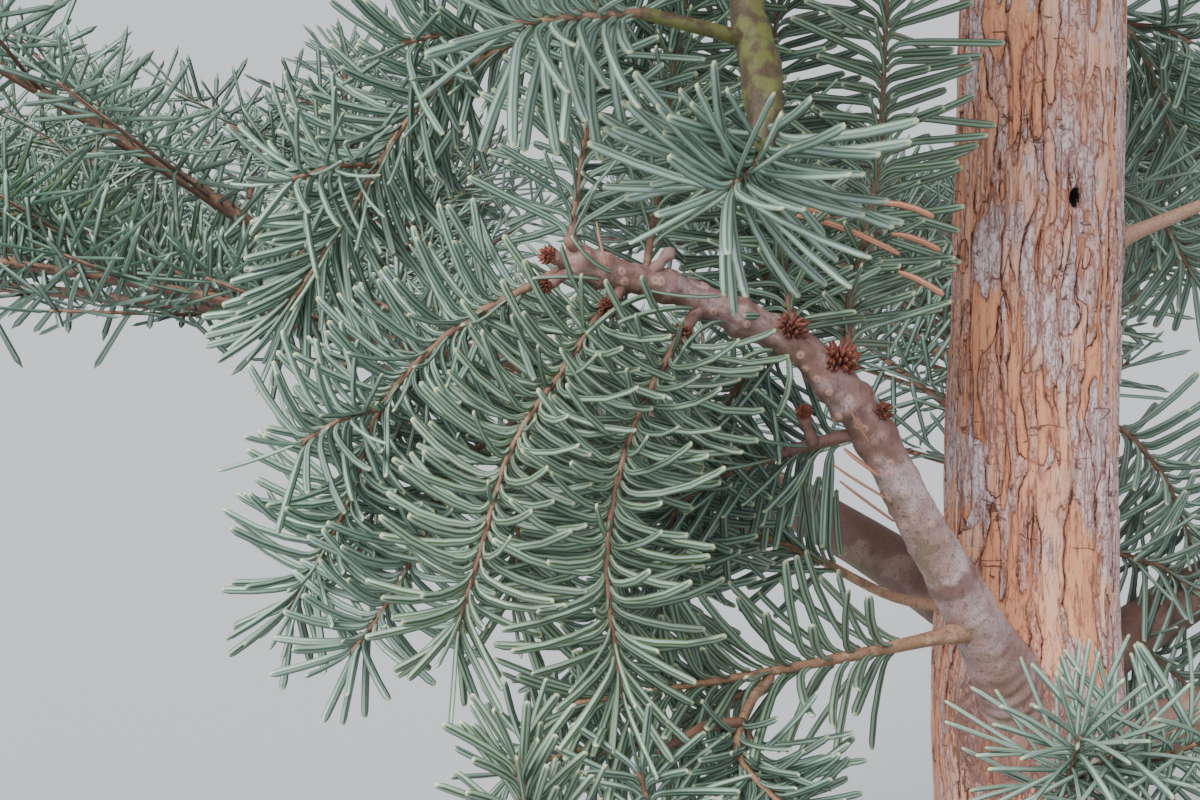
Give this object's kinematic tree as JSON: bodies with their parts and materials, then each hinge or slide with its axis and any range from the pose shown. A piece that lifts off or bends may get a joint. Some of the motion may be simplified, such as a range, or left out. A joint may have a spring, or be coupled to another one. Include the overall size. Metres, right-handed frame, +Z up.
{
  "type": "noble fir",
  "caption": "Young noble fir rooted in level ground, a bare lower trunk under whorls of boughs with blue-green needles up to an upright leader.",
  "frame": {"origin": "middle of the flat cut under the trunk, at ground level", "axes": "+Z up along the trunk to the leader; seen from -Y with the short left bough to the left, as in the picture"},
  "size_m": [1.3848, 1.3833, 2.6037],
  "materials": {
    "trunk_bark": "scaly orange-brown bark with grey plates",
    "limb_bark": "smooth purplish grey-brown bark",
    "needles": "waxy blue-green needles on thin reddish-brown twigs"
  },
  "bodies": {
    "root": {"bough_front_1": "limb_bark", "bough_left": "limb_bark", "bough_low_1": "limb_bark", "bough_low_2": "limb_bark", "bough_low_3": "limb_bark", "bough_low_4": "limb_bark", "bough_old": "limb_bark", "foliage_fifth_1": "needles", "foliage_fifth_2": "needles", "foliage_fifth_3": "needles", "foliage_fifth_4": "needles", "foliage_fourth_1": "needles", "foliage_fourth_2": "needles", "foliage_fourth_3": "needles", "foliage_fourth_4": "needles", "foliage_fourth_5": "needles", "foliage_fourth_upper_1": "needles", "foliage_fourth_upper_2": "needles", "foliage_fourth_upper_3": "needles", "foliage_front_1": "needles", "foliage_leader": "needles", "foliage_left_behind": "needles", "foliage_left_end": "needles", "foliage_left_inner": "needles", "foliage_left_side": "needles", "foliage_left_upright_long": "needles", "foliage_left_upright_short": "needles", "foliage_low_1": "needles", "foliage_low_2": "needles", "foliage_low_3": "needles", "foliage_low_4": "needles", "foliage_low_front": "needles", "foliage_low_left": "needles", "foliage_old_end": "needles", "foliage_old_side": "needles", "foliage_second_1": "needles", "foliage_second_2": "needles", "foliage_second_3": "needles", "foliage_second_4": "needles", "foliage_second_5": "needles", "foliage_second_upper_1": "needles", "foliage_second_upper_2": "needles", "foliage_second_upper_3": "needles", "foliage_seventh_1": "needles", "foliage_seventh_2": "needles", "foliage_seventh_3": "needles", "foliage_sixth_1": "needles", "foliage_sixth_2": "needles", "foliage_sixth_3": "needles", "foliage_sixth_4": "needles", "foliage_third_1": "needles", "foliage_third_2": "needles", "foliage_third_3": "needles", "foliage_third_4": "needles", "foliage_third_5": "needles", "foliage_third_upper_1": "needles", "foliage_third_upper_2": "needles", "foliage_third_upper_3": "needles", "foliage_upper_left": "needles", "trunk": "trunk_bark"}
  },
  "joints": []
}
